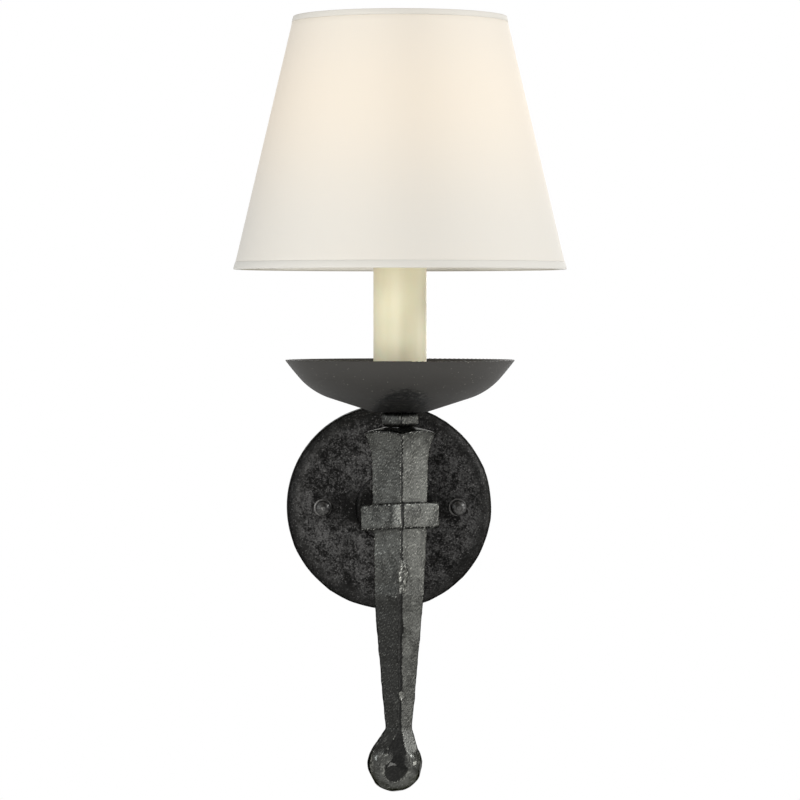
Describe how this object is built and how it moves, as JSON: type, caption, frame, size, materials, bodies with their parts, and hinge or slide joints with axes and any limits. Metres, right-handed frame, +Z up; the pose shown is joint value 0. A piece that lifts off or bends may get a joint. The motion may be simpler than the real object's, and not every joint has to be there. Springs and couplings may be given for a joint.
{
  "type": "torch wall sconce",
  "caption": "Forged iron wall light: square stem with a ball foot in a strap on a short arm, round backplate, dish, ivory candle sleeve and a tapered fabric clip-on shade.",
  "frame": {"origin": "on the wall plane, at the centre of the two slots that take the outlet box screws", "axes": "+Y into the wall, +Z up along the torch, +X to the right as seen from the room"},
  "size_m": [0.21, 0.225, 0.4883],
  "materials": {
    "zinc_steel": "zinc plated",
    "plate_iron": "mottled black patina",
    "forged_iron": "hand forged, dark patina, waxed",
    "dish_iron": "smooth dark satin patina",
    "nut_iron": "hammered dark patina",
    "socket_plastic": "black phenolic",
    "brass_shell": "plain",
    "candle_ivory": "ivory candle sleeve",
    "frosted_glass": "frosted",
    "bulb_cap": "plain",
    "bulb_plastic": "white moulded",
    "insulator_glass": "black glass",
    "solder": "soft solder",
    "clip_steel": "plated wire",
    "linen": "off-white woven linen",
    "liner": "white styrene sheet",
    "shade_frame": "white coated wire",
    "trim_tape": "folded cloth tape"
  },
  "bodies": {
    "wall_frame": {"crossbar": "zinc_steel", "crossbar_studs": "zinc_steel", "stud_lock_nuts": "zinc_steel", "ground_screw": "zinc_steel", "backplate": "plate_iron", "arm_boss": "plate_iron", "support_arm": "forged_iron", "arm_tube": "zinc_steel", "plate_washer": "zinc_steel", "plate_nut": "zinc_steel", "stem_strap": "forged_iron", "torch_stem": "forged_iron", "stem_collar": "dish_iron", "head_tube": "zinc_steel", "wax_dish": "dish_iron", "dish_washer": "zinc_steel", "dish_nut": "zinc_steel", "bracket_foot": "zinc_steel", "bracket_nut": "zinc_steel", "bracket_post": "zinc_steel", "clamp_screw": "zinc_steel", "socket_rivets": "brass_shell", "socket_body": "socket_plastic", "screw_shell": "brass_shell", "contact_spring": "clip_steel"},
    "left_washer": {"left_washer": "nut_iron"},
    "left_ball_nut": {"left_ball_nut": "nut_iron"},
    "right_washer": {"right_washer": "nut_iron"},
    "right_ball_nut": {"right_ball_nut": "nut_iron"},
    "contact": {"contact_plunger": "brass_shell"},
    "bulb": {"bulb_glass": "frosted_glass", "bulb_housing": "bulb_plastic", "bulb_base": "bulb_cap", "bulb_insulator": "insulator_glass", "bulb_tip": "solder"},
    "candle_cover": {"candle_cover": "candle_ivory"},
    "shade_clip": {"bulb_clip": "clip_steel", "clip_hub": "clip_steel"},
    "shade": {"shade_cloth": "linen", "shade_liner": "liner", "shade_top_frame": "shade_frame", "cross_wire_stops": "shade_frame", "shade_bottom_ring": "shade_frame", "shade_top_trim": "trim_tape", "shade_bottom_trim": "trim_tape"}
  },
  "joints": [
    {"name": "left_nut_travel", "type": "slide", "parent": "wall_frame", "child": "left_washer", "axis": [0, -1, 0], "range_m": [0, 0.00873]},
    {"name": "left_nut_turn", "type": "hinge", "parent": "left_washer", "child": "left_ball_nut", "pos_m": [-0.04445, -0.02, 0], "axis": [0, -1, 0], "range_deg": [0, 3960]},
    {"name": "right_nut_travel", "type": "slide", "parent": "wall_frame", "child": "right_washer", "axis": [0, -1, 0], "range_m": [0, 0.00873]},
    {"name": "right_nut_turn", "type": "hinge", "parent": "right_washer", "child": "right_ball_nut", "pos_m": [0.04445, -0.02, 0], "axis": [0, -1, 0], "range_deg": [0, 3960]},
    {"name": "candle_cover_lift", "type": "slide", "parent": "wall_frame", "child": "candle_cover", "axis": [0, 0, 1], "range_m": [0, 0.02]},
    {"name": "bulb_rise", "type": "slide", "parent": "wall_frame", "child": "contact", "axis": [0, 0, 1], "range_m": [0, 0.0037], "deforming": ["contact_spring"]},
    {"name": "bulb_turn", "type": "hinge", "parent": "contact", "child": "bulb", "pos_m": [0, -0.12, 0.17], "axis": [0, 0, 1], "range_deg": [0, 360]},
    {"name": "shade_lift", "type": "slide", "parent": "bulb", "child": "shade_clip", "axis": [0, 0, 1], "range_m": [0, 0.14]},
    {"name": "shade_tilt", "type": "hinge", "parent": "shade_clip", "child": "shade", "pos_m": [0, -0.12, 0.301], "axis": [1, 0, 0], "range_deg": [-6, 6]}
  ],
  "couplings": [
    {"joint": "left_nut_turn", "follows": "left_nut_travel", "rad_per_m": 7913.3},
    {"joint": "right_nut_turn", "follows": "right_nut_travel", "rad_per_m": 7913.3},
    {"joint": "bulb_rise", "follows": "bulb_turn", "m_per_rad": 0.00057757}
  ]
}
